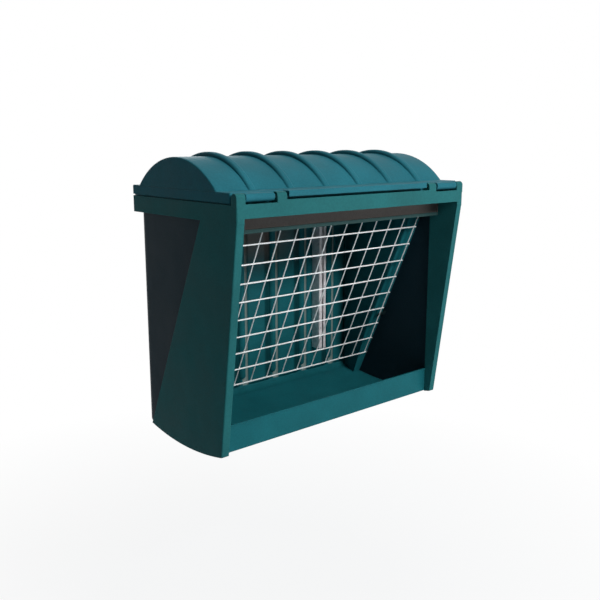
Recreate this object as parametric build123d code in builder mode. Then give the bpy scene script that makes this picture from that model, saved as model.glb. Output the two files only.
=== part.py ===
from build123d import *
import os
from math import cos, hypot, radians, sin

# Hang-on hay feeder: a moulded hopper with a catch trough, an inclined hay grid,
# a barrel lid hinged along the feeding side and two hooks for a gate rail.
# Millimetres. X runs along the feeder, -Y is the feeding side and +Z is up.
# The origin is the middle of the gate rail that the hooks hang on.

# Overall sizes, heights counted from the bottom of the front posts
width = 684.0
depth = 387.0
rim_top_height = 524.3
rim_bottom_height = 488.0
gate_rail_height = 500.0

# Wall thicknesses
frame_wall = 3.5
rim_flange = 4.0
tub_wall = 3.7
lid_wall = 3.5
rail_wall = 3.5

# Gate hooks
gate_rail_radius = 25.5
hook_bar_thickness = 5.0
hook_bar_width = 40.0
hook_bar_bottom = 100.0
hook_leg_drop = 38.0
hook_flare = 6.0
hook_flare_height = 12.0
hook_corner_radius = 8.0

# Front posts and cheeks
post_width = 18.5
lean_start_drop = 28.3
foot_set_back = 66.0
foot_plate = 3.5
cheek_top_back = 122.0
cheek_bottom_back = 341.7
cheek_sag = 15.5
band_depth = 83.6
outer_corner_radius = 3.0
rim_edge_radius = 1.5

# Header over the feeding window
window_top_height = 498.0
header_top_height = 530.0
header_notch_height = 525.5
header_return = 14.0
window_corner_radius = 2.5

# Lid hinge
hinge_set_back = 9.0
hinge_height = 537.5
knuckle_radius = 8.5
knuckle_web = 6.0
pin_radius = 3.0
pin_clearance = 0.06
pin_chamfer = 0.6
pin_end_inset = 5.0
pin_end_play = 1.0
corner_lug_length = 22.0
corner_lug_cover = 4.0
knuckle_length = 70.0
knuckle_gap = 2.0
inner_knuckle_gap = 6.0
inner_lug_length = 25.0

# Hopper tub
recess_depth = 11.0
tub_corner_radius = 28.0
tub_heel_radius = 30.0
tub_front_drop = 2.0
tub_heel_rise = 4.0
tub_floor_sag = 15.0
sill_height = 57.7
sill_lip = 1.6
sill_lip_height = 3.0
lap_width = 11.5
lap_bottom_height = 12.0
ridge_pitch = 101.5
ridge_count = 6
ridge_radius = 11.0
ridge_bottom_height = 34.0
ridge_top_height = 478.0
seat_gap = 0.3

# Lid
lid_gap = 3.0
lid_flange_height = 19.9
lid_front_set_back = 21.0
drip_lip_wall = 2.0
drip_lip_overlap = 6.0
drip_lip_gap = 0.5
lid_corner_radius = 3.0
lid_edge_radius = 2.5
lip_set_back = 2.5
lip_end_gap = 7.0
lip_bottom_height = 535.3
dome_front = 66.7
dome_back = 360.0
dome_rise = 63.8
dome_end_inset = 1.0
dome_edge_radius = 3.0
rib_rise = 9.5
rib_overhang = 5.5
rib_width = 18.0
rib_rounding = 6.0
hollow_edge_radius = 1.0
rest_pad_length = 24.0
rest_pad_offset = 250.0
rest_pad_gap = 0.2

# Hay grid
cross_wire_radius = 1.75
upright_wire_radius = 1.4
wire_gap = 0.1
mesh_pitch = 50.0
mesh_rows = 9
mesh_slope = 24.6
mesh_top_set_back = 89.6
mesh_top_height = 475.1
grid_side_room = 20.0
wire_overhang = 2.5
upright_top_reach = 24.0

# Rail that carries the grid
rail_height = 59.3
rail_set_back = 62.0
rail_lip_height = 8.0
rail_lip_depth = 4.0
rail_end_rib = 3.0
rail_top_flange = 22.0
rail_end_gap = 0.2

# Clips that hold the grid
clip_wall = 2.0
clip_width = 10.0
clip_clearance = 0.1
clip_jaw_reach = 0.7
clip_screw_offset = 16.0
top_clip_tab = 26.0
side_clip_tab = 24.0
top_clip_cells = (1.5, 4.5)
side_clip_rows = (0.5, 6.5)

# Hanger channels inside the hopper
channel_width = 25.0
channel_depth = 32.0
channel_wall = 2.0
channel_slot = 5.0
channel_bottom = 80.0
channel_top = 500.0
channel_corner_radius = 3.0

# Fasteners
bolt_radius = 4.0
bolt_head_radius = 8.0
bolt_head_height = 5.0
bolt_heights = (140.0, 425.0)
bolt_end = 2.0
bolt_hole_clearance = 0.3
thread_clearance = 0.05
washer_radius = 9.0
washer_thickness = 1.6
nut_across_flats = 13.0
nut_height = 6.5
spacer_radius = 12.0
screw_radius = 2.0
screw_head_radius = 4.0
screw_head_height = 2.4
screw_head_taper = 12.0
screw_clearance = 0.1
screw_tip_gap = 0.3
blind_floor = 1.0
rail_screw_pitch = 130.0
rail_screw_count = 5
rim_screw_end_gap = 23.0
rim_screw_height = 506.0

# Planes and edges worked out from the sizes above
half_width = width / 2
front = -(depth + hook_bar_thickness + gate_rail_radius)
back = front + depth
base = -gate_rail_height
rim_top = base + rim_top_height
rim_bottom = base + rim_bottom_height
flange_bottom = rim_top - rim_flange
window_top = base + window_top_height
cheek_inner = half_width - post_width
skin_inner = half_width - frame_wall
return_outer = cheek_inner + frame_wall
band_back = front + band_depth
hinge_y = front + hinge_set_back
hinge_z = base + hinge_height
lug_radius = hinge_set_back
tub_half = half_width - recess_depth
tub_inner = tub_half - tub_wall
tub_back = back - frame_wall
tub_back_inner = tub_back - tub_wall
rail_front = front + rail_set_back
rail_back = rail_front + rail_wall
rail_bottom = flange_bottom - rail_height
rail_half = cheek_inner - rail_end_gap
lean_start_height = rim_top_height - rim_flange - lean_start_drop
lid_bottom = rim_top + lid_gap
lid_top = lid_bottom + lid_flange_height
lid_front = front + lid_front_set_back
lid_back = back
lip_front = front + lip_set_back
lip_bottom = base + lip_bottom_height
dome_middle = front + (dome_front + dome_back) / 2
dome_half_span = (dome_back - dome_front) / 2
channel_seat = tub_back_inner - channel_wall
hook_back = back + hook_bar_thickness
ridge_positions = [ridge_pitch * (index - (ridge_count - 1) / 2) for index in range(ridge_count)]
hanger_offset = ridge_pitch * (ridge_count - 2) / 2
rim_screw_end = tub_half - tub_corner_radius - rim_screw_end_gap
rim_screw_positions = [-rim_screw_end, -ridge_pitch, 0, ridge_pitch, rim_screw_end]
rail_screw_y = rail_front - rail_top_flange / 2
overcut = 5.0

# Stations along the hinge, from the corner towards the middle
corner_lug = (half_width - corner_lug_length, half_width)
knuckle = (corner_lug[0] - knuckle_gap - knuckle_length, corner_lug[0] - knuckle_gap)
inner_lug = (knuckle[0] - inner_knuckle_gap - inner_lug_length, knuckle[0] - inner_knuckle_gap)
lip_half = inner_lug[0] - lip_end_gap

# Frame of the inclined hay grid: X along the feeder, local Y up the slope
slope = radians(mesh_slope)
up_slope = Vector(0, -sin(slope), cos(slope))
mesh_plane = Plane(
    origin=(0, front + mesh_top_set_back, base + mesh_top_height),
    x_dir=(1, 0, 0),
    z_dir=(0, -cos(slope), -sin(slope)),
)
mesh_columns = int(2 * (tub_inner - grid_side_room) // mesh_pitch)
half_grid = mesh_pitch * mesh_columns / 2
grid_length = mesh_pitch * mesh_rows
upright_set_back = cross_wire_radius + upright_wire_radius + wire_gap
top_clip_positions = [
    side * (half_grid - cell * mesh_pitch) for side in (-1, 1) for cell in top_clip_cells
]
top_clip_bore = cross_wire_radius + clip_clearance
side_clip_bore = upright_wire_radius + clip_clearance
clip_screw_length = clip_wall + rail_wall - blind_floor - screw_tip_gap


def box_between(low, high):
    """A plain block between two corners."""
    size = [high[axis] - low[axis] for axis in range(3)]
    with BuildPart() as block:
        with BuildSketch(Plane.XY.offset(low[2])):
            with Locations((low[0] + size[0] / 2, low[1] + size[1] / 2)):
                Rectangle(size[0], size[1])
        extrude(amount=size[2])
    return block.part


def mirrored_pair(low, high):
    """The same block on the right and on the left."""
    right = box_between(low, high)
    return [right, right.mirror(Plane.YZ)]


def headed_pin(plane, radius, length, head_radius, head_height, taper=0):
    """A fastener whose head stands on the plane and whose shank runs down from it."""
    with BuildPart() as pin:
        with BuildSketch(plane):
            Circle(head_radius)
        extrude(amount=head_height, taper=taper)
        with BuildSketch(plane):
            Circle(radius)
        extrude(amount=-length)
    return pin.part


def screw(plane, length):
    """A pan-head screw."""
    return headed_pin(
        plane, screw_radius, length, screw_head_radius, screw_head_height, screw_head_taper
    )


def facing(x, y, z, direction):
    """A work plane at a point that looks along a direction."""
    return Plane(origin=(x, y, z), z_dir=direction)


def drill(plane, radius, length):
    """A round bar that runs down from the plane, used to cut a hole."""
    with BuildPart() as hole:
        with BuildSketch(plane):
            Circle(radius)
        extrude(amount=-length)
    return hole.part


def hinge_rod(start, end, radius):
    """A round bar on the hinge axis."""
    with BuildPart() as rod:
        with BuildSketch(Plane.YZ.offset(start)):
            with Locations((hinge_y, hinge_z)):
                Circle(radius)
        extrude(amount=end - start)
    return rod.part


def across_slope(row, side_step):
    """A work plane square to the uprights, at a row of the grid, local Y towards the rear."""
    origin = mesh_plane.from_local_coords((0, -mesh_pitch * row + side_step, 0))
    return Plane(origin=origin, x_dir=(1, 0, 0), z_dir=up_slope)


# Outer frame: rim, cheeks, posts and header in one moulding
def cheek_solid(side):
    """Full side of the frame, from the front edge to the slanted rear edge."""
    with BuildPart() as cheek:
        with BuildSketch(Plane.YZ.offset(side * half_width)):
            with BuildLine():
                Polyline(
                    (front + cheek_bottom_back, base),
                    (front + cheek_top_back, rim_bottom),
                    (front + cheek_top_back, flange_bottom),
                    (front, flange_bottom),
                    (front, base + lean_start_height),
                    (front + foot_set_back, base),
                )
                ThreePointArc(
                    (front + foot_set_back, base),
                    (front + (foot_set_back + cheek_bottom_back) / 2, base - cheek_sag),
                    (front + cheek_bottom_back, base),
                )
            make_face()
        extrude(amount=-side * post_width)
        outer_edges = cheek.faces().sort_by(Axis.X)[-1 if side > 0 else 0].edges()
        fillet(outer_edges.sort_by(Axis.Y)[:2], outer_corner_radius)
    return cheek.part


def post_pocket(side):
    """Hollow behind the post, between the outer skin and the inner band."""
    lean_length = hypot(foot_set_back, lean_start_height)
    wall_across = frame_wall * lean_length / lean_start_height
    foot_y = front + foot_set_back * (1 - foot_plate / lean_start_height) + wall_across
    with BuildPart() as pocket:
        with BuildSketch(Plane.YZ.offset(side * return_outer)):
            with BuildLine():
                Polyline(
                    (front + frame_wall, flange_bottom),
                    (front + frame_wall, base + lean_start_height),
                    (foot_y, base + foot_plate),
                    (band_back, base + foot_plate),
                    (band_back, base - cheek_sag - overcut),
                    (back, base - cheek_sag - overcut),
                    (back, flange_bottom),
                    close=True,
                )
            make_face()
        extrude(amount=side * (skin_inner - return_outer))
    return pocket.part


def lug_solid(start, end):
    """Round-topped hinge lug of the frame between two stations."""
    with BuildPart() as lug:
        with BuildSketch(Plane.YZ.offset(start)):
            with Locations((hinge_y, hinge_z)):
                Circle(lug_radius)
            with Locations((hinge_y, (hinge_z + flange_bottom) / 2)):
                Rectangle(2 * lug_radius, hinge_z - flange_bottom)
        extrude(amount=end - start)
        rim_edges = lug.edges().filter_by(Plane.YZ).filter_by(GeomType.CIRCLE)
        fillet(rim_edges, hollow_edge_radius)
    return lug.part


def window_fillet(side):
    """Rounded upper corner of the feeding window."""
    corner_x = side * (cheek_inner - window_corner_radius)
    corner_z = window_top - window_corner_radius
    half_radius = window_corner_radius / 2
    with BuildPart() as web:
        with BuildSketch(Plane.XZ.offset(-front)):
            with Locations((corner_x + side * half_radius, corner_z + half_radius)):
                Rectangle(window_corner_radius, window_corner_radius)
            with Locations((corner_x, corner_z)):
                Circle(window_corner_radius, mode=Mode.SUBTRACT)
        extrude(amount=-frame_wall)
    return web.part


cheeks = [cheek_solid(side) for side in (-1, 1)]
pockets = [post_pocket(side) for side in (-1, 1)]
behind_band = mirrored_pair(
    (cheek_inner, band_back, base - cheek_sag - overcut), (skin_inner, back, flange_bottom)
)
header_front = box_between(
    (-inner_lug[1], front, flange_bottom),
    (inner_lug[1], front + frame_wall, base + header_top_height),
)
header_notch = box_between(
    (-cheek_inner, front, flange_bottom),
    (cheek_inner, front + frame_wall, base + header_notch_height),
)
header_lip = box_between(
    (-cheek_inner, front, window_top),
    (cheek_inner, front + header_return, window_top + frame_wall),
)
below_header = box_between(
    (-cheek_inner, front - overcut, rim_bottom - overcut),
    (cheek_inner, front + band_depth, window_top),
)
window_fillets = [window_fillet(side) for side in (-1, 1)]
lugs = [
    lug_solid(side * low, side * high) for side in (-1, 1) for low, high in (corner_lug, inner_lug)
]
lug_bores = [
    hinge_rod(
        side * (inner_lug[0] - overcut),
        side * (half_width - corner_lug_cover),
        pin_radius + pin_clearance,
    )
    for side in (-1, 1)
]

with BuildPart() as outer_frame:
    with BuildSketch(Plane.XY.offset(rim_bottom)):
        with Locations((0, front + depth / 2)):
            RectangleRounded(width, depth, outer_corner_radius)
    extrude(amount=rim_top - rim_bottom)
    fillet(outer_frame.faces().sort_by(Axis.Z)[-1].edges(), rim_edge_radius)
    with BuildSketch(Plane.XY.offset(rim_bottom)):
        with Locations((0, front + depth / 2)):
            Rectangle(width - 2 * frame_wall, depth - 2 * frame_wall)
    extrude(amount=flange_bottom - rim_bottom, mode=Mode.SUBTRACT)
    add(below_header, mode=Mode.SUBTRACT)
    add(cheeks)
    add(pockets, mode=Mode.SUBTRACT)
    add(behind_band, mode=Mode.SUBTRACT)
    add([header_front, header_notch, header_lip])
    add(window_fillets)
    add(lugs)
    add(lug_bores, mode=Mode.SUBTRACT)
    # Filling throat, with the tub's own inner outline
    with BuildSketch(Plane.XY.offset(flange_bottom)) as throat:
        with Locations((0, (rail_back + tub_back_inner) / 2)):
            Rectangle(2 * tub_inner, tub_back_inner - rail_back)
        fillet(throat.vertices().group_by(Axis.Y)[-1], tub_corner_radius - tub_wall)
    extrude(amount=rim_flange, mode=Mode.SUBTRACT)
    # Screw holes for the grid rail and for the tub
    with BuildSketch(Plane.XY.offset(flange_bottom)):
        with Locations((0, rail_screw_y)):
            with GridLocations(rail_screw_pitch, 1, rail_screw_count, 1):
                Circle(screw_radius + screw_clearance)
    extrude(amount=rim_flange, mode=Mode.SUBTRACT)
    with BuildSketch(Plane.XZ.offset(-back)):
        with Locations(*[(x, base + rim_screw_height) for x in rim_screw_positions]):
            Circle(screw_radius + screw_clearance)
    extrude(amount=frame_wall, mode=Mode.SUBTRACT)
outer_frame.part.label = "outer_frame"


# Hopper tub: back wall with ridges, sides, floor and trough sill in one moulding
def tub_block(inset, top):
    """Side outline of the tub crossed with its plan outline, both drawn in by the inset."""
    half = tub_half - inset
    front_y = band_back + inset
    rear_y = tub_back - inset
    front_z = base - tub_front_drop + inset
    rear_z = base + tub_heel_rise + inset
    middle = ((front_y + rear_y) / 2, (front_z + rear_z) / 2 - tub_floor_sag)
    with BuildPart() as block:
        with BuildSketch(Plane.YZ.offset(-half)) as side_view:
            with BuildLine():
                Polyline((rear_y, rear_z), (rear_y, top), (front_y, top), (front_y, front_z))
                ThreePointArc((front_y, front_z), middle, (rear_y, rear_z))
            make_face()
            heel = side_view.vertices().group_by(Axis.X)[-1].sort_by(Axis.Y)[0]
            fillet(heel, tub_heel_radius - inset)
        extrude(amount=2 * half)
        with BuildSketch(Plane.XY.offset(base - 2 * tub_floor_sag)) as plan:
            with Locations((0, (front_y + rear_y) / 2)):
                Rectangle(2 * half, rear_y - front_y)
            fillet(plan.vertices().group_by(Axis.Y)[-1], tub_corner_radius - inset)
        extrude(amount=top - base + 2 * tub_floor_sag, mode=Mode.INTERSECT)
    return block.part


def ridge_bars(radius):
    """Round-ended half bars in the plane of the back wall, one at each ridge."""
    low = base + ridge_bottom_height + ridge_radius
    high = base + ridge_top_height - ridge_radius
    with BuildPart() as bars:
        for x in ridge_positions:
            with BuildSketch(Plane.XY.offset(low)):
                with Locations((x, tub_back)):
                    Circle(radius)
            extrude(amount=high - low)
            with Locations((x, tub_back, low), (x, tub_back, high)):
                Sphere(radius)
        split(bisect_by=Plane.XZ.offset(-tub_back), keep=Keep.TOP)
    return bars.part


def side_clip_screw_plane(side, row):
    """Where a side clip's screw head sits, on the inner face of the clip's tab."""
    point = mesh_plane.from_local_coords(
        (0, -mesh_pitch * row, -(upright_set_back + side_clip_bore + clip_screw_offset))
    )
    return facing(side * (tub_inner - clip_wall), point.Y, point.Z, (-side, 0, 0))


tub_outside = tub_block(0, flange_bottom)
tub_inside = tub_block(tub_wall, flange_bottom + overcut)
tub_window = box_between(
    (-tub_inner, band_back - overcut, base + sill_height),
    (tub_inner, band_back + 2 * tub_wall, flange_bottom + overcut),
)
side_laps = mirrored_pair(
    (tub_inner, band_back - lap_width, base + lap_bottom_height),
    (tub_half, band_back, flange_bottom),
)
sill_bead = box_between(
    (-(cheek_inner - seat_gap), band_back - sill_lip, base + sill_height - sill_lip_height),
    (cheek_inner - seat_gap, band_back, base + sill_height),
)
ridges = ridge_bars(ridge_radius)
grooves = ridge_bars(ridge_radius - tub_wall)
side_clip_holes = [
    drill(side_clip_screw_plane(side, row), screw_radius + screw_clearance,
          clip_wall + tub_wall - blind_floor)
    for side in (-1, 1) for row in side_clip_rows
]

with BuildPart() as hopper_tub:
    add(tub_outside)
    add(tub_inside, mode=Mode.SUBTRACT)
    add(tub_window, mode=Mode.SUBTRACT)
    add(side_laps)
    add(sill_bead)
    add(ridges)
    add(grooves, mode=Mode.SUBTRACT)
    add(side_clip_holes, mode=Mode.SUBTRACT)
    with BuildSketch(Plane.XZ.offset(-tub_back)):
        with Locations(*[(x, base + rim_screw_height) for x in rim_screw_positions]):
            Circle(screw_radius + screw_clearance)
        with Locations(*[(side * hanger_offset, base + height)
                         for side in (-1, 1) for height in bolt_heights]):
            Circle(bolt_radius + bolt_hole_clearance)
    extrude(amount=tub_wall, mode=Mode.SUBTRACT)
hopper_tub.part.label = "hopper_tub"

# Grid rail: apron behind the header, screwed up to the rim's flange
with BuildPart() as grid_rail:
    with BuildSketch(Plane.YZ.offset(-rail_half)):
        with BuildLine():
            Polyline(
                (rail_back, rail_bottom),
                (rail_back, flange_bottom),
                (rail_front - rail_top_flange, flange_bottom),
                (rail_front - rail_top_flange, flange_bottom - rail_wall),
                (rail_front, flange_bottom - rail_wall),
                (rail_front, rail_bottom + rail_lip_height),
                (rail_front - rail_lip_depth, rail_bottom + rail_lip_height),
                (rail_front - rail_lip_depth, rail_bottom),
                close=True,
            )
        make_face()
    extrude(amount=2 * rail_half)
    with BuildSketch(Plane.XZ.offset(-rail_front)):
        for side in (-1, 1):
            with Locations((side * (rail_half - rail_end_rib / 2), (rail_bottom + flange_bottom) / 2)):
                Rectangle(rail_end_rib, flange_bottom - rail_bottom)
    extrude(amount=rail_lip_depth)
    with BuildSketch(Plane.XY.offset(flange_bottom)):
        with Locations((0, rail_screw_y)):
            with GridLocations(rail_screw_pitch, 1, rail_screw_count, 1):
                Circle(screw_radius + screw_clearance)
    extrude(amount=-rail_wall, mode=Mode.SUBTRACT)
    with BuildSketch(Plane.XZ.offset(-rail_back)):
        with Locations(*[(x, mesh_plane.origin.Z + top_clip_bore + clip_screw_offset)
                         for x in top_clip_positions]):
            Circle(screw_radius + screw_clearance)
    extrude(amount=rail_wall - blind_floor, mode=Mode.SUBTRACT)
grid_rail.part.label = "grid_rail"

# Hay grid: cross wires in front, uprights welded behind them
with BuildPart() as grid_cross_wires:
    with BuildSketch(Plane.YZ.offset(-(half_grid + wire_overhang))):
        for row in range(mesh_rows + 1):
            wire = mesh_plane.from_local_coords((0, -mesh_pitch * row, 0))
            with Locations((wire.Y, wire.Z)):
                Circle(cross_wire_radius)
    extrude(amount=2 * (half_grid + wire_overhang))
grid_cross_wires.part.label = "grid_cross_wires"

with BuildPart() as grid_upright_wires:
    with BuildSketch(across_slope(mesh_rows, -wire_overhang)):
        with Locations((0, upright_set_back)):
            with GridLocations(mesh_pitch, 1, mesh_columns + 1, 1):
                Circle(upright_wire_radius)
    extrude(amount=wire_overhang + grid_length + upright_top_reach)
grid_upright_wires.part.label = "grid_upright_wires"


# Snap clips that hold the grid to the rail and to the tub's sides
def top_clip_screw_plane(x):
    """Where a top clip's screw head sits, on the rear face of the clip's tab."""
    height = mesh_plane.origin.Z + top_clip_bore + clip_screw_offset
    return facing(x, rail_back + clip_wall, height, (0, 1, 0))


def clip_hook_top(x):
    """Clip from the rail's rear face over the top cross wire, open downwards."""
    wire_y = mesh_plane.origin.Y
    wire_z = mesh_plane.origin.Z
    arm_z = wire_z + top_clip_bore
    outer = top_clip_bore + clip_wall
    with BuildPart() as clip:
        with BuildSketch(Plane.YZ.offset(x - clip_width / 2)):
            with Locations((wire_y, wire_z)):
                Circle(outer)
            with Locations(((rail_back + wire_y) / 2, arm_z + clip_wall / 2)):
                Rectangle(wire_y - rail_back, clip_wall)
            with Locations((rail_back + clip_wall / 2, arm_z + top_clip_tab / 2)):
                Rectangle(clip_wall, top_clip_tab)
            with Locations((wire_y, wire_z)):
                Circle(top_clip_bore, mode=Mode.SUBTRACT)
            with Locations((wire_y, wire_z - clip_jaw_reach - outer / 2)):
                Rectangle(2 * outer, outer, mode=Mode.SUBTRACT)
        extrude(amount=clip_width)
        add(drill(top_clip_screw_plane(x), screw_radius + screw_clearance, clip_wall),
            mode=Mode.SUBTRACT)
    return clip.part


def clip_hook_side(side, row):
    """Clip from the tub's side wall round the back of the outermost upright."""
    x = side * half_grid
    arm_y = upright_set_back + side_clip_bore
    wall_x = side * tub_inner
    outer = side_clip_bore + clip_wall
    with BuildPart() as clip:
        with BuildSketch(across_slope(row, -clip_width / 2)):
            with Locations((x, upright_set_back)):
                Circle(outer)
            with Locations(((x + wall_x) / 2, arm_y + clip_wall / 2)):
                Rectangle(tub_inner - half_grid, clip_wall)
            with Locations((wall_x - side * clip_wall / 2, arm_y + side_clip_tab / 2)):
                Rectangle(clip_wall, side_clip_tab)
            with Locations((x, upright_set_back)):
                Circle(side_clip_bore, mode=Mode.SUBTRACT)
            with Locations((x, upright_set_back - clip_jaw_reach - outer / 2)):
                Rectangle(2 * outer, outer, mode=Mode.SUBTRACT)
        extrude(amount=clip_width)
        add(drill(side_clip_screw_plane(side, row), screw_radius + screw_clearance, clip_wall),
            mode=Mode.SUBTRACT)
    return clip.part


top_clips = [clip_hook_top(x) for x in top_clip_positions]
with BuildPart() as grid_top_clips:
    add(top_clips)
grid_top_clips.part.label = "grid_top_clips"

side_clips = [clip_hook_side(side, row) for side in (-1, 1) for row in side_clip_rows]
with BuildPart() as grid_side_clips:
    add(side_clips)
grid_side_clips.part.label = "grid_side_clips"


# Lid: ribbed barrel on a skirted plate, with hinge knuckles and a front lip
def arch_solid(low, high, half_span, rise, inset, rounding):
    """Barrel-shaped solid above the lid's plate between two stations along the feeder."""
    radius = (half_span**2 + rise**2) / (2 * rise)
    level = lid_top - 2 * lid_wall
    with BuildPart() as arch:
        with BuildSketch(Plane.YZ.offset(low)):
            with Locations((dome_middle, lid_top + rise - radius)):
                Circle(radius - inset)
            with Locations((dome_middle, level + radius)):
                Rectangle(4 * radius, 2 * radius, mode=Mode.INTERSECT)
        extrude(amount=high - low)
        fillet(arch.edges().filter_by(GeomType.CIRCLE), rounding)
    return arch.part


def rib_arch(x, inset, rounding):
    """One arched rib of the lid, drawn in by the inset all round."""
    half = rib_width / 2 - inset
    span = dome_half_span + rib_overhang
    return arch_solid(x - half, x + half, span, dome_rise + rib_rise, inset, rounding)


def knuckle_solid(side):
    """Hinge knuckle with the web that joins it to the lid's front skirt."""
    web_back = lid_front + lid_wall
    with BuildPart() as barrel:
        with BuildSketch(Plane.YZ.offset(side * knuckle[0])):
            with Locations((hinge_y, hinge_z)):
                Circle(knuckle_radius)
            with Locations(((hinge_y + web_back) / 2, hinge_z + knuckle_radius - knuckle_web / 2)):
                Rectangle(web_back - hinge_y, knuckle_web)
        extrude(amount=side * knuckle_length)
    return barrel.part


dome_half = half_width - dome_end_inset
dome = arch_solid(-dome_half, dome_half, dome_half_span, dome_rise, 0, dome_edge_radius)
dome_hollow = arch_solid(
    lid_wall - dome_half, dome_half - lid_wall,
    dome_half_span, dome_rise, lid_wall, hollow_edge_radius,
)
ribs = [rib_arch(x, 0, rib_rounding) for x in ridge_positions]
rib_hollows = [rib_arch(x, lid_wall, rib_rounding - lid_wall) for x in ridge_positions]
knuckles = [knuckle_solid(side) for side in (-1, 1)]
knuckle_bores = [
    hinge_rod(side * (knuckle[0] - overcut), side * (knuckle[1] + overcut),
              pin_radius + pin_clearance)
    for side in (-1, 1)
]
plate_hollow = box_between(
    (-(half_width - lid_wall), lid_front + lid_wall, lid_bottom),
    (half_width - lid_wall, lid_back - lid_wall, lid_top - lid_wall),
)
tongue_hollow = box_between(
    (-(lip_half - lid_wall), lip_front + lid_wall, lip_bottom),
    (lip_half - lid_wall, lid_front, lid_top - lid_wall),
)
rest_pads = mirrored_pair(
    (rest_pad_offset - rest_pad_length / 2, lid_back - lid_wall, rim_top + rest_pad_gap),
    (rest_pad_offset + rest_pad_length / 2, lid_back, lid_bottom),
)
drip_outer = box_between(
    (-(half_width - lid_wall), lid_front + lid_wall, rim_top + drip_lip_gap),
    (half_width - lid_wall, lid_back - lid_wall, lid_bottom + drip_lip_overlap),
)
drip_inner = box_between(
    (-(half_width - lid_wall - drip_lip_wall), lid_front + lid_wall + drip_lip_wall, rim_top),
    (half_width - lid_wall - drip_lip_wall, lid_back - lid_wall - drip_lip_wall, lid_top),
)
drip_lip = drip_outer - drip_inner

with BuildPart() as lid:
    with BuildSketch(Plane.XY.offset(lid_bottom)):
        with Locations((0, (lid_front + lid_back) / 2)):
            RectangleRounded(width, lid_back - lid_front, lid_corner_radius)
    extrude(amount=lid_flange_height)
    with BuildSketch(Plane.XY.offset(lip_bottom)):
        with Locations((0, (lip_front + lid_front + lid_wall) / 2)):
            Rectangle(2 * lip_half, lid_front + lid_wall - lip_front)
    extrude(amount=lid_top - lip_bottom)
    fillet(lid.faces().sort_by(Axis.Z)[-1].edges(), lid_edge_radius)
    add(dome)
    add(ribs)
    add(knuckles)
    add(plate_hollow, mode=Mode.SUBTRACT)
    add(tongue_hollow, mode=Mode.SUBTRACT)
    add(dome_hollow, mode=Mode.SUBTRACT)
    add(rib_hollows, mode=Mode.SUBTRACT)
    add(knuckle_bores, mode=Mode.SUBTRACT)
    add(drip_lip)
    add(rest_pads)
lid.part.label = "lid"


# Hinge pins, one at each end of the feeding side
def hinge_pin(side):
    """Pin from the inner lug to the blind end of the corner lug."""
    start = side * (inner_lug[0] + pin_end_inset)
    end = side * (half_width - corner_lug_cover - pin_end_play)
    with BuildPart() as pin:
        add(hinge_rod(start, end, pin_radius))
        chamfer(pin.edges().filter_by(GeomType.CIRCLE), pin_chamfer)
    return pin.part


left_pin = hinge_pin(-1)
with BuildPart() as hinge_pin_left:
    add(left_pin)
hinge_pin_left.part.label = "hinge_pin_left"

right_pin = hinge_pin(1)
with BuildPart() as hinge_pin_right:
    add(right_pin)
hinge_pin_right.part.label = "hinge_pin_right"


# Hangers: a channel inside and a bent flat bar outside, bolted through the back wall
def hanger_channel(side):
    """Slotted channel against the inside of the back wall."""
    centre = (side * hanger_offset, tub_back_inner - channel_depth / 2)
    with BuildPart() as channel:
        with BuildSketch(Plane.XY.offset(base + channel_bottom)):
            with Locations(centre):
                RectangleRounded(channel_width, channel_depth, channel_corner_radius)
                RectangleRounded(
                    channel_width - 2 * channel_wall,
                    channel_depth - 2 * channel_wall,
                    channel_corner_radius - channel_wall,
                    mode=Mode.SUBTRACT,
                )
            with Locations((side * hanger_offset, tub_back_inner - channel_depth)):
                Rectangle(channel_slot, 3 * channel_wall, mode=Mode.SUBTRACT)
        extrude(amount=channel_top - channel_bottom)
        with BuildSketch(Plane.XZ.offset(-tub_back_inner)):
            with Locations(*[(side * hanger_offset, base + height) for height in bolt_heights]):
                Circle(bolt_radius + bolt_hole_clearance)
        extrude(amount=channel_wall, mode=Mode.SUBTRACT)
    return channel.part


def gate_hook(side):
    """Flat bar up the back of the feeder, bent over the gate rail and down again."""
    inner = gate_rail_radius
    outer = gate_rail_radius + hook_bar_thickness
    foot = base + hook_bar_bottom
    bend = hook_flare_height - hook_leg_drop
    with BuildPart() as hook:
        with BuildSketch(Plane.YZ.offset(side * hanger_offset - hook_bar_width / 2)):
            with BuildLine():
                Polyline((-inner, 0), (-inner, foot), (-outer, foot), (-outer, 0))
                ThreePointArc((-outer, 0), (0, outer), (outer, 0))
                Polyline(
                    (outer, 0),
                    (outer, bend),
                    (outer + hook_flare, -hook_leg_drop),
                    (inner + hook_flare, -hook_leg_drop),
                    (inner, bend),
                    (inner, 0),
                )
                ThreePointArc((inner, 0), (0, inner), (-inner, 0))
            make_face()
        extrude(amount=hook_bar_width)
        tip_corners = hook.edges().filter_by(Axis.Y).filter_by(
            lambda edge: edge.center().Z < bend
        )
        fillet(tip_corners, hook_corner_radius)
        with BuildSketch(Plane.XZ.offset(-hook_back)):
            with Locations(*[(side * hanger_offset, base + height) for height in bolt_heights]):
                Circle(bolt_radius + bolt_hole_clearance)
        extrude(amount=hook_bar_thickness, mode=Mode.SUBTRACT)
    return hook.part


left_channel = hanger_channel(-1)
with BuildPart() as hanger_channel_left:
    add(left_channel)
hanger_channel_left.part.label = "hanger_channel_left"

right_channel = hanger_channel(1)
with BuildPart() as hanger_channel_right:
    add(right_channel)
hanger_channel_right.part.label = "hanger_channel_right"

left_hook = gate_hook(-1)
with BuildPart() as gate_hook_left:
    add(left_hook)
gate_hook_left.part.label = "gate_hook_left"

right_hook = gate_hook(1)
with BuildPart() as gate_hook_right:
    add(right_hook)
gate_hook_right.part.label = "gate_hook_right"

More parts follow.
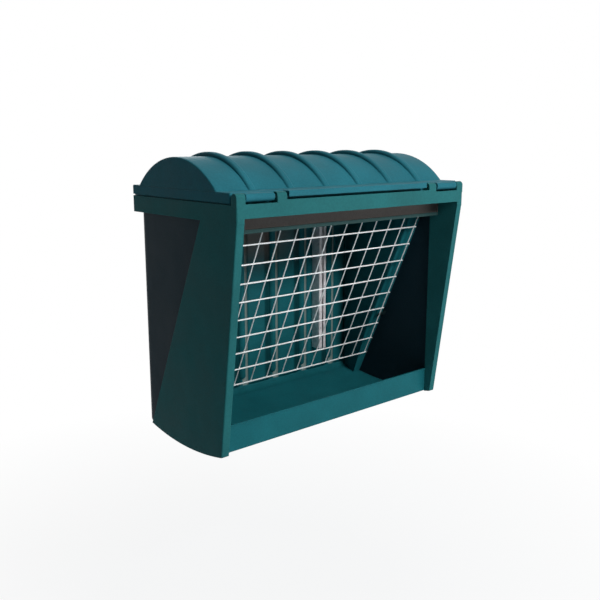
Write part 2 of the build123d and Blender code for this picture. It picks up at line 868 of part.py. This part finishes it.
# Hanger bolts with their spacers, washers and nuts
bolt_points = [(side * hanger_offset, base + height) for side in (-1, 1) for height in bolt_heights]
bolt_length = (hook_back + washer_thickness + nut_height + bolt_end) - channel_seat
bolts = [
    headed_pin(facing(x, channel_seat, z, (0, -1, 0)), bolt_radius, bolt_length,
               bolt_head_radius, bolt_head_height)
    for x, z in bolt_points
]
with BuildPart() as hanger_bolts:
    add(bolts)
hanger_bolts.part.label = "hanger_bolts"

with BuildPart() as hanger_spacers:
    with BuildSketch(Plane.XZ.offset(-back)):
        with Locations(*bolt_points):
            Circle(spacer_radius)
            Circle(bolt_radius + bolt_hole_clearance, mode=Mode.SUBTRACT)
    extrude(amount=frame_wall)
hanger_spacers.part.label = "hanger_spacers"

with BuildPart() as hanger_washers:
    with BuildSketch(Plane.XZ.offset(-(hook_back + washer_thickness))):
        with Locations(*bolt_points):
            Circle(washer_radius)
            Circle(bolt_radius + bolt_hole_clearance, mode=Mode.SUBTRACT)
    extrude(amount=washer_thickness)
hanger_washers.part.label = "hanger_washers"

with BuildPart() as hanger_nuts:
    with BuildSketch(Plane.XZ.offset(-(hook_back + washer_thickness + nut_height))):
        with Locations(*bolt_points):
            RegularPolygon(nut_across_flats / 2, 6, major_radius=False)
            Circle(bolt_radius + thread_clearance, mode=Mode.SUBTRACT)
    extrude(amount=nut_height)
hanger_nuts.part.label = "hanger_nuts"

# Screws of the grid clips, the grid rail and the rim
top_screws = [screw(top_clip_screw_plane(x), clip_screw_length) for x in top_clip_positions]
with BuildPart() as top_clip_screws:
    add(top_screws)
top_clip_screws.part.label = "top_clip_screws"

side_screws = [
    screw(side_clip_screw_plane(side, row), clip_screw_length)
    for side in (-1, 1) for row in side_clip_rows
]
with BuildPart() as side_clip_screws:
    add(side_screws)
side_clip_screws.part.label = "side_clip_screws"

rail_screw_length = rim_flange + rail_wall - screw_tip_gap
upward_screws = [
    screw(facing(rail_screw_pitch * (index - (rail_screw_count - 1) / 2), rail_screw_y, rim_top,
                 (0, 0, 1)), rail_screw_length)
    for index in range(rail_screw_count)
]
with BuildPart() as rail_screws:
    add(upward_screws)
rail_screws.part.label = "rail_screws"

rim_screw_length = frame_wall + tub_wall - screw_tip_gap
rear_screws = [
    screw(facing(x, back, base + rim_screw_height, (0, 1, 0)), rim_screw_length)
    for x in rim_screw_positions
]
with BuildPart() as rim_screws:
    add(rear_screws)
rim_screws.part.label = "rim_screws"

os.makedirs("parts", exist_ok=True)
export_step(outer_frame.part, "parts/outer_frame.step")
export_step(hopper_tub.part, "parts/hopper_tub.step")
export_step(grid_rail.part, "parts/grid_rail.step")
export_step(grid_cross_wires.part, "parts/grid_cross_wires.step")
export_step(grid_upright_wires.part, "parts/grid_upright_wires.step")
export_step(grid_top_clips.part, "parts/grid_top_clips.step")
export_step(grid_side_clips.part, "parts/grid_side_clips.step")
export_step(lid.part, "parts/lid.step")
export_step(hinge_pin_left.part, "parts/hinge_pin_left.step")
export_step(hinge_pin_right.part, "parts/hinge_pin_right.step")
export_step(hanger_channel_left.part, "parts/hanger_channel_left.step")
export_step(hanger_channel_right.part, "parts/hanger_channel_right.step")
export_step(gate_hook_left.part, "parts/gate_hook_left.step")
export_step(gate_hook_right.part, "parts/gate_hook_right.step")
export_step(hanger_bolts.part, "parts/hanger_bolts.step")
export_step(hanger_spacers.part, "parts/hanger_spacers.step")
export_step(hanger_washers.part, "parts/hanger_washers.step")
export_step(hanger_nuts.part, "parts/hanger_nuts.step")
export_step(top_clip_screws.part, "parts/top_clip_screws.step")
export_step(side_clip_screws.part, "parts/side_clip_screws.step")
export_step(rail_screws.part, "parts/rail_screws.step")
export_step(rim_screws.part, "parts/rim_screws.step")
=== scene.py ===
import bmesh
import bpy
import math
from mathutils import Matrix, Vector


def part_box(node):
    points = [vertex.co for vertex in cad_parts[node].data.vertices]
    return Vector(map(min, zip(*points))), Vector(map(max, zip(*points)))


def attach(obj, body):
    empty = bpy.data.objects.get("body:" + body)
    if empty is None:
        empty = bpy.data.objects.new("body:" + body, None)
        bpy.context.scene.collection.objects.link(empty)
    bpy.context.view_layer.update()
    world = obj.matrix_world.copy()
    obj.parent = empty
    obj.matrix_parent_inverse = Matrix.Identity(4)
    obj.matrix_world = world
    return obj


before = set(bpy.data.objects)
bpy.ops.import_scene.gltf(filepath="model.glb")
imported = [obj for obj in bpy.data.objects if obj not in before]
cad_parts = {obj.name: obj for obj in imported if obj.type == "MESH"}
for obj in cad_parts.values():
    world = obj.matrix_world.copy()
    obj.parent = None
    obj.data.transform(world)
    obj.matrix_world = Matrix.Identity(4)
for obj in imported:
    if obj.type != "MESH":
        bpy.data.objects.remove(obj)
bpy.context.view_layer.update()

# Metres. X runs along the feeder, -Y is the feeding side and +Z is up.
# A name that ends in RANGE holds the two values between which something changes.
# Names that start with TUB or WIRE, and GROOVE_PITCH, repeat sizes of the solids.

# Places read from the solids
tub_low, tub_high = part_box("hopper_tub")
grid_low, grid_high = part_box("grid_cross_wires")
rail_bottom_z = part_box("grid_rail")[0].z
back_wall_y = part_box("hanger_channel_left")[1].y

# Building blocks of the looks
WHITE = (1.0, 1.0, 1.0)
NOISE_MIDDLE_RANGE = (0.3, 0.7)
EDGE_ROUNDING = 0.0014


class Nodes:
    """A node tree, with short names for the nodes that the looks are made of."""

    def __init__(self, tree):
        self.tree = tree

    def node(self, kind, **settings):
        made = self.tree.nodes.new(kind)
        for key, value in settings.items():
            setattr(made, key, value)
        return made

    def link(self, source, target):
        self.tree.links.new(source, target)

    def feed(self, source, target):
        """Links a socket, or sets a colour or a number."""
        if isinstance(source, bpy.types.NodeSocket):
            self.link(source, target)
        elif isinstance(source, tuple):
            target.default_value = (*source, 1.0)
        else:
            target.default_value = source

    def maths(self, operation, first, second=None):
        made = self.node("ShaderNodeMath", operation=operation)
        self.feed(first, made.inputs[0])
        if second is not None:
            self.feed(second, made.inputs[1])
        return made.outputs[0]

    def product(self, first, *others):
        for other in others:
            first = self.maths("MULTIPLY", first, other)
        return first

    def opposite(self, value):
        """One where the value is nought, and nought where it is one."""
        return self.maths("SUBTRACT", 1.0, value)

    def remap(self, value, old_range, new_range, interpolation="LINEAR"):
        """The value's way through one range, as the same way through another."""
        made = self.node("ShaderNodeMapRange", interpolation_type=interpolation)
        limits = ("From Min", "From Max", "To Min", "To Max")
        for limit, number in zip(limits, (*old_range, *new_range)):
            made.inputs[limit].default_value = number
        self.link(value, made.inputs["Value"])
        return made.outputs["Result"]

    def step(self, value, rise_range):
        """Nought below the range, one above it, smooth between."""
        return self.remap(value, rise_range, (0.0, 1.0), "SMOOTHSTEP")

    def around(self, value, middle, blur):
        """Nought below a value, one above it, smooth as far as the blur reaches."""
        return self.step(value, (middle - blur, middle + blur))

    def band(self, value, limits, blur):
        """One between two limits, nought outside them."""
        start, end = limits
        return self.product(self.around(value, start, blur), self.opposite(self.around(value, end, blur)))

    def seen_ray(self):
        """One for rays that show the background: from the camera, off gloss or through glass."""
        rays = self.node("ShaderNodeLightPath")
        seen = rays.outputs["Is Camera Ray"]
        for kind in ("Is Glossy Ray", "Is Transmission Ray"):
            seen = self.maths("MAXIMUM", seen, rays.outputs[kind])
        return seen


class Surface(Nodes):
    """A material under construction, around its own shader."""

    def __init__(self, name, colour, roughness, metallic=0.0, specular=0.5):
        self.material = bpy.data.materials.new(name)
        self.material.use_nodes = True
        super().__init__(self.material.node_tree)
        self.shader = self.tree.nodes["Principled BSDF"]
        self.feed(colour, self.shader.inputs["Base Color"])
        self.feed(roughness, self.shader.inputs["Roughness"])
        self.feed(metallic, self.shader.inputs["Metallic"])
        self.feed(specular, self.shader.inputs["Specular IOR Level"])
        coordinates = self.node("ShaderNodeTexCoord")
        self.place = coordinates.outputs["Object"]
        self.facing = coordinates.outputs["Normal"]

    def part(self, vector, axis):
        """The X, Y or Z of a vector."""
        made = self.node("ShaderNodeSeparateXYZ")
        self.link(vector, made.inputs["Vector"])
        return made.outputs[axis]

    def noise(self, scale, detail=2.0):
        made = self.node("ShaderNodeTexNoise")
        self.link(self.place, made.inputs["Vector"])
        self.feed(scale, made.inputs["Scale"])
        self.feed(detail, made.inputs["Detail"])
        return made.outputs["Fac"]

    def spread(self, noise, new_range):
        """A noise's middle part, spread over a range of values."""
        return self.remap(noise, NOISE_MIDDLE_RANGE, new_range)

    def ramp(self, factor, ramp_range, first, last):
        """One colour below the range, another above it."""
        made = self.node("ShaderNodeValToRGB")
        for element, position, colour in zip(made.color_ramp.elements, ramp_range, (first, last)):
            element.position = position
            element.color = (*colour, 1.0)
        self.link(factor, made.inputs["Fac"])
        return made.outputs["Color"]

    def mix(self, factor, first, second, blend="MIX"):
        made = self.node("ShaderNodeMix", data_type="RGBA", blend_type=blend)
        self.feed(factor, made.inputs["Factor"])
        self.feed(first, made.inputs["A"])
        self.feed(second, made.inputs["B"])
        return made.outputs["Result"]

    def rounded(self):
        """The surface's direction with its edges softly rounded."""
        made = self.node("ShaderNodeBevel")
        self.feed(EDGE_ROUNDING, made.inputs["Radius"])
        return made.outputs["Normal"]

    def edges(self):
        """Nought on flat faces, and more the nearer an edge is."""
        made = self.node("ShaderNodeVectorMath", operation="DOT_PRODUCT")
        self.link(self.rounded(), made.inputs[0])
        self.link(self.node("ShaderNodeNewGeometry").outputs["Normal"], made.inputs[1])
        return self.opposite(made.outputs["Value"])

    def bump(self, layers):
        """Heights in metres, laid over each other on the rounded edges."""
        below = self.rounded()
        for factor, height in layers:
            made = self.node("ShaderNodeBump")
            self.feed(1.0, made.inputs["Strength"])
            self.feed(height, made.inputs["Distance"])
            self.link(factor, made.inputs["Height"])
            self.link(below, made.inputs["Normal"])
            below = made.outputs["Normal"]
        self.link(below, self.shader.inputs["Normal"])


def toned(colour, gain, lift=0.0):
    """The colour, darker or lighter by a factor, and paler by a small amount."""
    return tuple(min(1.0, part * gain + lift) for part in colour)


# Moulded plastic
PLASTIC_ROUGHNESS = 0.46
PLASTIC_SPECULAR = 0.04
CLOUD_SCALE = 9.0
CLOUD_RANGE = (0.32, 0.68)
CLOUD_DARK = 0.9
CLOUD_LIGHT = 1.1
SPECK_SCALE = 260.0
SPECK_RANGE = (0.38, 0.62)
SPECK_DARK = (0.9, 0.9, 0.9)
SHEEN_DROP = 0.05
SHEEN_RISE = 0.06
EDGE_RANGE = (0.02, 0.25)
# Paler edges: partly rubbed wear, partly a painted highlight
EDGE_WEAR_AND_HIGHLIGHT = 0.4
WORN_AND_HIGHLIGHT_GAIN = 1.9
WORN_AND_HIGHLIGHT_LIFT = 0.015
WAVE_SCALE = 14.0
WAVE_HEIGHT = 0.0012
PEEL_SCALE = 420.0
PEEL_HEIGHT = 0.00010


def moulded_plastic(name, colour, roughness=PLASTIC_ROUGHNESS, zones=None, relief=None):
    """Rotationally moulded polyethylene: faint orange peel, cloudy sheen, and edges paled partly as rubbed
    wear and partly as painted highlight.

    zones changes the tone by place, and relief gives one more layer of height.
    """
    made = Surface(name, colour, roughness, specular=PLASTIC_SPECULAR)
    cloud = made.noise(CLOUD_SCALE, detail=4.0)
    tone = made.ramp(cloud, CLOUD_RANGE, toned(colour, CLOUD_DARK), toned(colour, CLOUD_LIGHT))
    if zones is not None:
        tone = zones(made, tone)
    specks = made.ramp(made.noise(SPECK_SCALE), SPECK_RANGE, SPECK_DARK, WHITE)
    base = made.mix(1.0, tone, specks, "MULTIPLY")
    # Paler edges: partly rubbed wear, partly a painted highlight where edges catch the light
    worn_and_highlight = made.product(made.step(made.edges(), EDGE_RANGE), EDGE_WEAR_AND_HIGHLIGHT)
    rubbed_and_highlit = made.mix(worn_and_highlight, base, toned(colour, WORN_AND_HIGHLIGHT_GAIN, WORN_AND_HIGHLIGHT_LIFT))
    sheen = made.spread(cloud, (roughness - SHEEN_DROP, roughness + SHEEN_RISE))
    made.link(rubbed_and_highlit, made.shader.inputs["Base Color"])
    made.link(sheen, made.shader.inputs["Roughness"])
    layers = [(made.noise(WAVE_SCALE), WAVE_HEIGHT), (made.noise(PEEL_SCALE), PEEL_HEIGHT)]
    if relief is not None:
        layers.insert(0, relief(made))
    made.bump(layers)
    return made.material


# Zones of the hopper: painted shade on its side walls, and on its back wall, which has a groove at each
# ridge, a painted shade and a painted reflection beside each groove and a brown tone on its upper middle
# Painted shade: the hopper's side walls, inside and out, are darkened to this tone
SIDE_WALL_PAINTED_SHADE = (0.016, 0.038, 0.052)
SIDE_WALL_DEPTH = 0.0045
SIDE_WALL_BLUR = 0.002
FACING_RANGE = (0.05, 0.25)
BACK_WALL_RANGE = (back_wall_y - 0.003, back_wall_y - 0.001)
GROOVE_PITCH = 0.1015
SHADE_TONE = (0.004, 0.040, 0.045)
SHADE_LIMITS = (-0.026, -0.005)
SHADE_BLUR = 0.004
SHADE_SHARE = 0.7
# Painted reflection: a pale stripe on the flank to the right of each groove
PAINTED_REFLECTION_TONE = (0.36, 0.42, 0.39)
PAINTED_REFLECTION_LIMITS = (0.000, 0.018)
PAINTED_REFLECTION_BLUR = 0.002
PAINTED_REFLECTION_SHARE = 0.75
# A brown tone over the upper middle of the back wall's inner face
UPPER_BROWN_TONE = (0.17, 0.115, 0.095)
UPPER_BROWN_HEIGHT_RANGE = (-0.20, -0.10)
UPPER_BROWN_SIDE_RANGE = (0.02, 0.20)
UPPER_BROWN_SHARE = 0.65
SHOULDER_RANGE = (0.009, 0.026)
SHOULDER_HEIGHT = 0.010


def inside_back_wall(made):
    """One on the face of the back wall that looks at the hay, nought elsewhere."""
    forward = made.step(made.product(made.part(made.facing, "Y"), -1.0), FACING_RANGE)
    near_back = made.step(made.part(made.place, "Y"), BACK_WALL_RANGE)
    return made.product(forward, near_back)


def beside_groove(made):
    """Metres to the right of the nearest groove in the back wall."""
    turns = made.maths("FRACT", made.maths("DIVIDE", made.part(made.place, "X"), GROOVE_PITCH))
    return made.product(made.maths("SUBTRACT", turns, 0.5), GROOVE_PITCH)


def hopper_zones(made, tone):
    """Painted shade on the side walls, a painted shade and a painted reflection on the flanks beside each
    groove, and a brown tone on the upper middle of the back wall.
    """
    from_middle = made.maths("ABSOLUTE", made.part(made.place, "X"))
    beside = beside_groove(made)
    inside = inside_back_wall(made)
    side_wall_x = tub_high.x - SIDE_WALL_DEPTH
    # Painted shade on the side walls
    side = made.step(from_middle, (side_wall_x - SIDE_WALL_BLUR, side_wall_x))
    shade = made.product(made.band(beside, SHADE_LIMITS, SHADE_BLUR), SHADE_SHARE, inside)
    # Painted reflection beside each groove
    painted_reflection = made.product(made.band(beside, PAINTED_REFLECTION_LIMITS, PAINTED_REFLECTION_BLUR), PAINTED_REFLECTION_SHARE, inside)
    # Browner towards the top of the back wall's middle
    high = made.step(made.part(made.place, "Z"), UPPER_BROWN_HEIGHT_RANGE)
    central = made.opposite(made.step(from_middle, UPPER_BROWN_SIDE_RANGE))
    upper_brown = made.product(high, UPPER_BROWN_SHARE, central, inside)
    tone = made.mix(side, tone, SIDE_WALL_PAINTED_SHADE)
    tone = made.mix(shade, tone, SHADE_TONE)
    tone = made.mix(painted_reflection, tone, PAINTED_REFLECTION_TONE)
    return made.mix(upper_brown, tone, UPPER_BROWN_TONE)


def groove_shoulders(made):
    """Soft shoulders beside each groove of the back wall, and their height."""
    away = made.step(made.maths("ABSOLUTE", beside_groove(made)), SHOULDER_RANGE)
    return made.product(away, inside_back_wall(made)), SHOULDER_HEIGHT


# Zones of the grid rail
RAIL_FACE_TONE = (0.13, 0.115, 0.107)
RAIL_LIP_HEIGHT = 0.008
RAIL_LIP_BLUR = 0.0006


def rail_zones(made, tone):
    """A brownish face above the green lower lip."""
    lip_top_z = rail_bottom_z + RAIL_LIP_HEIGHT
    above_lip = made.around(made.part(made.place, "Z"), lip_top_z, RAIL_LIP_BLUR)
    return made.mix(above_lip, tone, RAIL_FACE_TONE)


# Galvanised steel
SPANGLE_SCALE = 90.0
SPANGLE_RANGE = (0.25, 0.7)
SPANGLE_DARK = 0.82
BLOOM_SCALE = 40.0
BLOOM_DROP = 0.1
BLOOM_RISE = 0.12
DIMPLE_SCALE = 120.0
DIMPLE_HEIGHT = 0.00012
GRAIN_SCALE = 900.0
GRAIN_HEIGHT = 0.00003


def galvanised(name, colour, roughness, metallic, spangle_scale=SPANGLE_SCALE):
    """Zinc-coated steel with a faint spangle and a dull bloom."""
    made = Surface(name, colour, roughness, metallic)
    flakes = made.node("ShaderNodeTexVoronoi")
    made.link(made.place, flakes.inputs["Vector"])
    made.feed(spangle_scale, flakes.inputs["Scale"])
    spangle = made.ramp(flakes.outputs["Color"], SPANGLE_RANGE, toned(colour, SPANGLE_DARK), colour)
    cloud = made.noise(BLOOM_SCALE, detail=3.0)
    bloom = made.spread(cloud, (roughness - BLOOM_DROP, roughness + BLOOM_RISE))
    made.link(spangle, made.shader.inputs["Base Color"])
    made.link(bloom, made.shader.inputs["Roughness"])
    dimples = made.noise(DIMPLE_SCALE, detail=3.0)
    made.bump([(dimples, DIMPLE_HEIGHT), (made.noise(GRAIN_SCALE), GRAIN_HEIGHT)])
    return made.material


# Materials of the solids
frame_green = moulded_plastic("frame_green", (0.021, 0.145, 0.153))
hopper_green = moulded_plastic("hopper_green", (0.012, 0.135, 0.158), roughness=0.42,
                               zones=hopper_zones, relief=groove_shoulders)
lid_green = moulded_plastic("lid_green", (0.022, 0.160, 0.205))
rail_green = moulded_plastic("rail_green", (0.033, 0.078, 0.077), zones=rail_zones)
clip_black = moulded_plastic("clip_black", (0.008, 0.020, 0.022), roughness=0.5)
wire_zinc = galvanised("wire_zinc", (0.96, 0.98, 0.98), roughness=0.38, metallic=0.15, spangle_scale=400.0)
sheet_zinc = galvanised("sheet_zinc", (1.0, 0.95, 0.97), roughness=0.35, metallic=0.1)
bar_zinc = galvanised("bar_zinc", (0.55, 0.56, 0.57), roughness=0.4, metallic=0.85)
bolt_zinc = galvanised("bolt_zinc", (0.66, 0.66, 0.64), roughness=0.3, metallic=0.95, spangle_scale=500.0)

NODE_MATERIALS = {
    "outer_frame": frame_green,
    "hopper_tub": hopper_green,
    "lid": lid_green,
    "grid_rail": rail_green,
    "grid_cross_wires": wire_zinc,
    "grid_upright_wires": wire_zinc,
    "grid_top_clips": clip_black,
    "grid_side_clips": clip_black,
    "hanger_channel_left": sheet_zinc,
    "hanger_channel_right": sheet_zinc,
    "gate_hook_left": bar_zinc,
    "gate_hook_right": bar_zinc,
    "hanger_spacers": clip_black,
    "hanger_bolts": bolt_zinc,
    "hanger_washers": bolt_zinc,
    "hanger_nuts": bolt_zinc,
    "hinge_pin_left": bolt_zinc,
    "hinge_pin_right": bolt_zinc,
    "top_clip_screws": bolt_zinc,
    "side_clip_screws": bolt_zinc,
    "rail_screws": bolt_zinc,
    "rim_screws": bolt_zinc,
}
for node_name, material in NODE_MATERIALS.items():
    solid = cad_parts[node_name]
    solid.data.materials.clear()
    solid.data.materials.append(material)

# The plane of the hay grid, from its top and bottom cross wires
WIRE_RADIUS = 0.00175
top_wire = Vector((0.0, grid_low.y + WIRE_RADIUS, grid_high.z - WIRE_RADIUS))
bottom_wire = Vector((0.0, grid_high.y - WIRE_RADIUS, grid_low.z + WIRE_RADIUS))
down_slope = (bottom_wire - top_wire).normalized()
rearward = Vector((0.0, -down_slope.z, down_slope.y))


def new_piece(name, shape, material):
    """A smooth piece from a finished bmesh."""
    for face in shape.faces:
        face.smooth = True
    data = bpy.data.meshes.new(name)
    shape.to_mesh(data)
    shape.free()
    data.materials.append(material)
    piece = bpy.data.objects.new(name, data)
    bpy.context.collection.objects.link(piece)
    return piece


# Weld spots where the wires of the hay grid cross
GRID_ROWS = 10
GRID_COLUMNS = 13
WIRE_OVERHANG = 0.0025
WELD_DEPTH = 0.0018
WELD_RADIUS = 0.0020
WELD_SUBDIVISIONS = 2


def weld_balls():
    """A small ball at each crossing, between the cross wire and the upright wire."""
    half_grid = grid_high.x - WIRE_OVERHANG
    shape = bmesh.new()
    for row in range(GRID_ROWS):
        on_wire = top_wire.lerp(bottom_wire, row / (GRID_ROWS - 1)) + rearward * WELD_DEPTH
        for column in range(GRID_COLUMNS):
            across = half_grid * (2.0 * column / (GRID_COLUMNS - 1) - 1.0)
            place = Matrix.Translation(on_wire + Vector((across, 0.0, 0.0)))
            bmesh.ops.create_icosphere(shape, subdivisions=WELD_SUBDIVISIONS,
                                       radius=WELD_RADIUS, matrix=place)
    return shape


weld_spots = new_piece("grid_weld_spots", weld_balls(), wire_zinc)
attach(weld_spots, "feeder")

# Steps in the hopper's side walls, just behind the edges of the hay grid
TUB_WALL = 0.0037
TUB_CORNER_RADIUS = 0.028
TUB_HEEL_RADIUS = 0.030
TUB_FLOOR_FRONT = (-0.3339, -0.502)
TUB_FLOOR_REAR = (-0.034, -0.496)
TUB_FLOOR_SAG = 0.015
HALF_WALL = TUB_WALL / 2
STEP_WIDTH = 0.039
STEP_BEHIND_GRID = 0.015
STEP_EDGE_RADIUS = 0.006
STEP_EDGE_SEGMENTS = 4
STEP_TOP_CHAMFER = 0.015
STEP_DRAFT_START_Y = -0.150
STEP_DRAFT_END = math.radians(60)
STEP_ARC_POINTS = 8
STEP_FLOOR_SPACING = 0.015
STEP_INNER_X = tub_high.x - TUB_WALL - STEP_WIDTH
FLAT_ANGLE = 0.001
SHARP_ANGLE = math.radians(35)
ROUND_PROFILE = 0.5
TOUCHING = 1e-5


def step_outline():
    """The step from above, on the +X side, with an arc along the tub's rear corner."""
    corner_x = tub_high.x - TUB_CORNER_RADIUS
    corner_y = tub_high.y - TUB_CORNER_RADIUS
    radius = TUB_CORNER_RADIUS - HALF_WALL
    yield tub_high.x - HALF_WALL, tub_low.y
    yield STEP_INNER_X, tub_low.y
    yield STEP_INNER_X, STEP_DRAFT_START_Y
    for index in range(STEP_ARC_POINTS + 1):
        angle = STEP_DRAFT_END * (1 - index / STEP_ARC_POINTS)
        yield corner_x + radius * math.cos(angle), corner_y + radius * math.sin(angle)


def floor_point(y):
    """Place and outward direction on the hopper's curved floor, inside its wall."""
    (front_y, front_z), (rear_y, rear_z) = TUB_FLOOR_FRONT, TUB_FLOOR_REAR
    half = (rear_y - front_y) / 2
    turn = (y - (front_y + rear_y) / 2) / half
    rise = (rear_z - front_z) / (rear_y - front_y)
    z = front_z + rise * (y - front_y) - TUB_FLOOR_SAG * (1 - turn ** 2) + HALF_WALL
    outward = Vector((0, rise + 2 * TUB_FLOOR_SAG * turn / half, -1)).normalized()
    return Vector((0, y, z)), outward


def step_cuts(side):
    """Planes that bound the step on its grid side, floor, heel and top."""
    yield top_wire + rearward * STEP_BEHIND_GRID, -rearward
    heel_y = tub_high.y - TUB_HEEL_RADIUS
    for index in range(STEP_ARC_POINTS):
        yield floor_point(heel_y - STEP_FLOOR_SPACING * index)
    radius = TUB_HEEL_RADIUS - HALF_WALL
    heel = floor_point(heel_y)[0] + Vector((0, 0, radius))
    for index in range(STEP_ARC_POINTS):
        angle = math.pi / 2 * index / STEP_ARC_POINTS
        outward = Vector((0, math.cos(angle), -math.sin(angle)))
        yield heel + outward * radius, outward
    top_edge = Vector((side * STEP_INNER_X, 0, tub_high.z - STEP_TOP_CHAMFER))
    yield top_edge, Vector((-side, 0, 1)).normalized()


def cut_off(shape, place, outward):
    """Takes away what lies beyond a plane, and closes the cut."""
    whole = shape.verts[:] + shape.edges[:] + shape.faces[:]
    cut = bmesh.ops.bisect_plane(shape, geom=whole, plane_co=place, plane_no=outward,
                                 clear_outer=True)
    rim = [item for item in cut["geom_cut"] if isinstance(item, bmesh.types.BMEdge)]
    if rim:
        bmesh.ops.contextual_create(shape, geom=rim)


def on_front_edge(vertex):
    """Whether a vertex lies where the step's inner side meets its grid side."""
    behind_grid = (vertex.co - top_wire).dot(rearward)
    return (abs(abs(vertex.co.x) - STEP_INNER_X) < TOUCHING
            and abs(behind_grid - STEP_BEHIND_GRID) < TOUCHING)


def wall_step(side):
    """The inward step of one side wall, closed on all sides, with its backs in the tub's walls."""
    shape = bmesh.new()
    bottom = shape.faces.new([shape.verts.new((side * x, y, tub_low.z)) for x, y in step_outline()])
    grown = bmesh.ops.extrude_face_region(shape, geom=[bottom])
    raised = [item for item in grown["geom"] if isinstance(item, bmesh.types.BMVert)]
    bmesh.ops.translate(shape, verts=raised, vec=(0, 0, tub_high.z - tub_low.z))
    for place, outward in step_cuts(side):
        cut_off(shape, place, outward)
    bmesh.ops.dissolve_limit(shape, angle_limit=FLAT_ANGLE, verts=shape.verts[:], edges=shape.edges[:])
    bmesh.ops.recalc_face_normals(shape, faces=shape.faces[:])
    front_edge = [edge for edge in shape.edges if all(on_front_edge(vertex) for vertex in edge.verts)]
    bmesh.ops.bevel(shape, geom=front_edge, offset=STEP_EDGE_RADIUS, segments=STEP_EDGE_SEGMENTS,
                    profile=ROUND_PROFILE, affect="EDGES")
    return shape


for name, side in (("hopper_wall_step_left", -1), ("hopper_wall_step_right", 1)):
    piece = new_piece(name, wall_step(side), hopper_green)
    piece.data.set_sharp_from_angle(angle=SHARP_ANGLE)
    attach(piece, "feeder")

# Floor and world: white to the camera, and dimmer to the light on the object
FLOOR_Z = -1.1
FLOOR_SIZE = 14.0
FLOOR_TINT = (0.50, 0.60, 0.66)
FLOOR_ROUGHNESS = 0.9
FLOOR_FADE_RANGE = (0.4, 1.6)
FLOOR_FADE_START = 0.88
WORLD_STRENGTH = 0.07


def stage_white():
    """A pale floor that keeps a little shadow near its middle and is white farther out."""
    made = Surface("stage_white", FLOOR_TINT, FLOOR_ROUGHNESS)
    distance = made.node("ShaderNodeVectorMath", operation="LENGTH")
    made.link(made.place, distance.inputs[0])
    fade = made.remap(distance.outputs["Value"], FLOOR_FADE_RANGE, (FLOOR_FADE_START, 1.0))
    blend = made.node("ShaderNodeMixShader")
    made.link(made.product(fade, made.seen_ray()), blend.inputs["Fac"])
    made.link(made.shader.outputs["BSDF"], blend.inputs[1])
    made.link(made.node("ShaderNodeEmission").outputs["Emission"], blend.inputs[2])
    made.link(blend.outputs["Shader"], made.tree.nodes["Material Output"].inputs["Surface"])
    return made.material


bpy.ops.mesh.primitive_plane_add(size=FLOOR_SIZE, location=(0.0, 0.0, FLOOR_Z))
floor = bpy.context.object
floor.name = "floor"
floor.data.materials.append(stage_white())

world = bpy.data.worlds.new("studio")
world.use_nodes = True
bpy.context.scene.world = world
sky = Nodes(world.node_tree)
background = sky.tree.nodes["Background"]
sky.feed(WHITE, background.inputs["Color"])
strength = sky.remap(sky.seen_ray(), (0.0, 1.0), (WORLD_STRENGTH, 1.0))
sky.link(strength, background.inputs["Strength"])


# Lights
def soft_light(name, place, target, size, power):
    """A soft box that looks at a point, with its power in watts."""
    data = bpy.data.lights.new(name, "AREA")
    data.shape = "RECTANGLE"
    data.size, data.size_y = size
    data.energy = power
    lamp = bpy.data.objects.new(name, data)
    lamp.location = place
    aim = Vector(target) - Vector(place)
    lamp.rotation_euler = aim.to_track_quat("-Z", "Y").to_euler()
    bpy.context.collection.objects.link(lamp)


soft_light("key", place=(0.15, -2.6, 1.15), target=(0.0, -0.25, -0.2), size=(0.6, 0.6), power=52.0)
soft_light("top", place=(0.3, -0.4, 2.3), target=(0.0, -0.22, 0.0), size=(1.4, 1.0), power=8.0)
soft_light("glint", place=(1.9, -2.6, -0.45), target=(0.0, -0.3, -0.1), size=(1.8, 1.1), power=20.0)
soft_light("back", place=(1.0, 2.6, 0.6), target=(0.0, 0.0, -0.2), size=(1.5, 1.5), power=22.0)

# Camera at the photograph's place, fitted to the object's corner points
CAMERA_PLACE = (-1.2072, -1.5864, 0.1458)
CAMERA_AZIMUTH = math.radians(-41.19)
CAMERA_ELEVATION = math.radians(11.73)
CAMERA_LENS = 46.4
CAMERA_SENSOR = 36.0
CAMERA_NEAR = 0.05
CAMERA_FAR = 60.0

camera_data = bpy.data.cameras.new("photo_camera")
camera_data.lens = CAMERA_LENS
camera_data.sensor_width = CAMERA_SENSOR
camera_data.clip_start = CAMERA_NEAR
camera_data.clip_end = CAMERA_FAR
camera = bpy.data.objects.new("photo_camera", camera_data)
camera.location = CAMERA_PLACE
camera.rotation_euler = (math.pi / 2 - CAMERA_ELEVATION, 0.0, CAMERA_AZIMUTH)
bpy.context.collection.objects.link(camera)
bpy.context.scene.camera = camera
bpy.context.scene.view_settings.view_transform = "Standard"
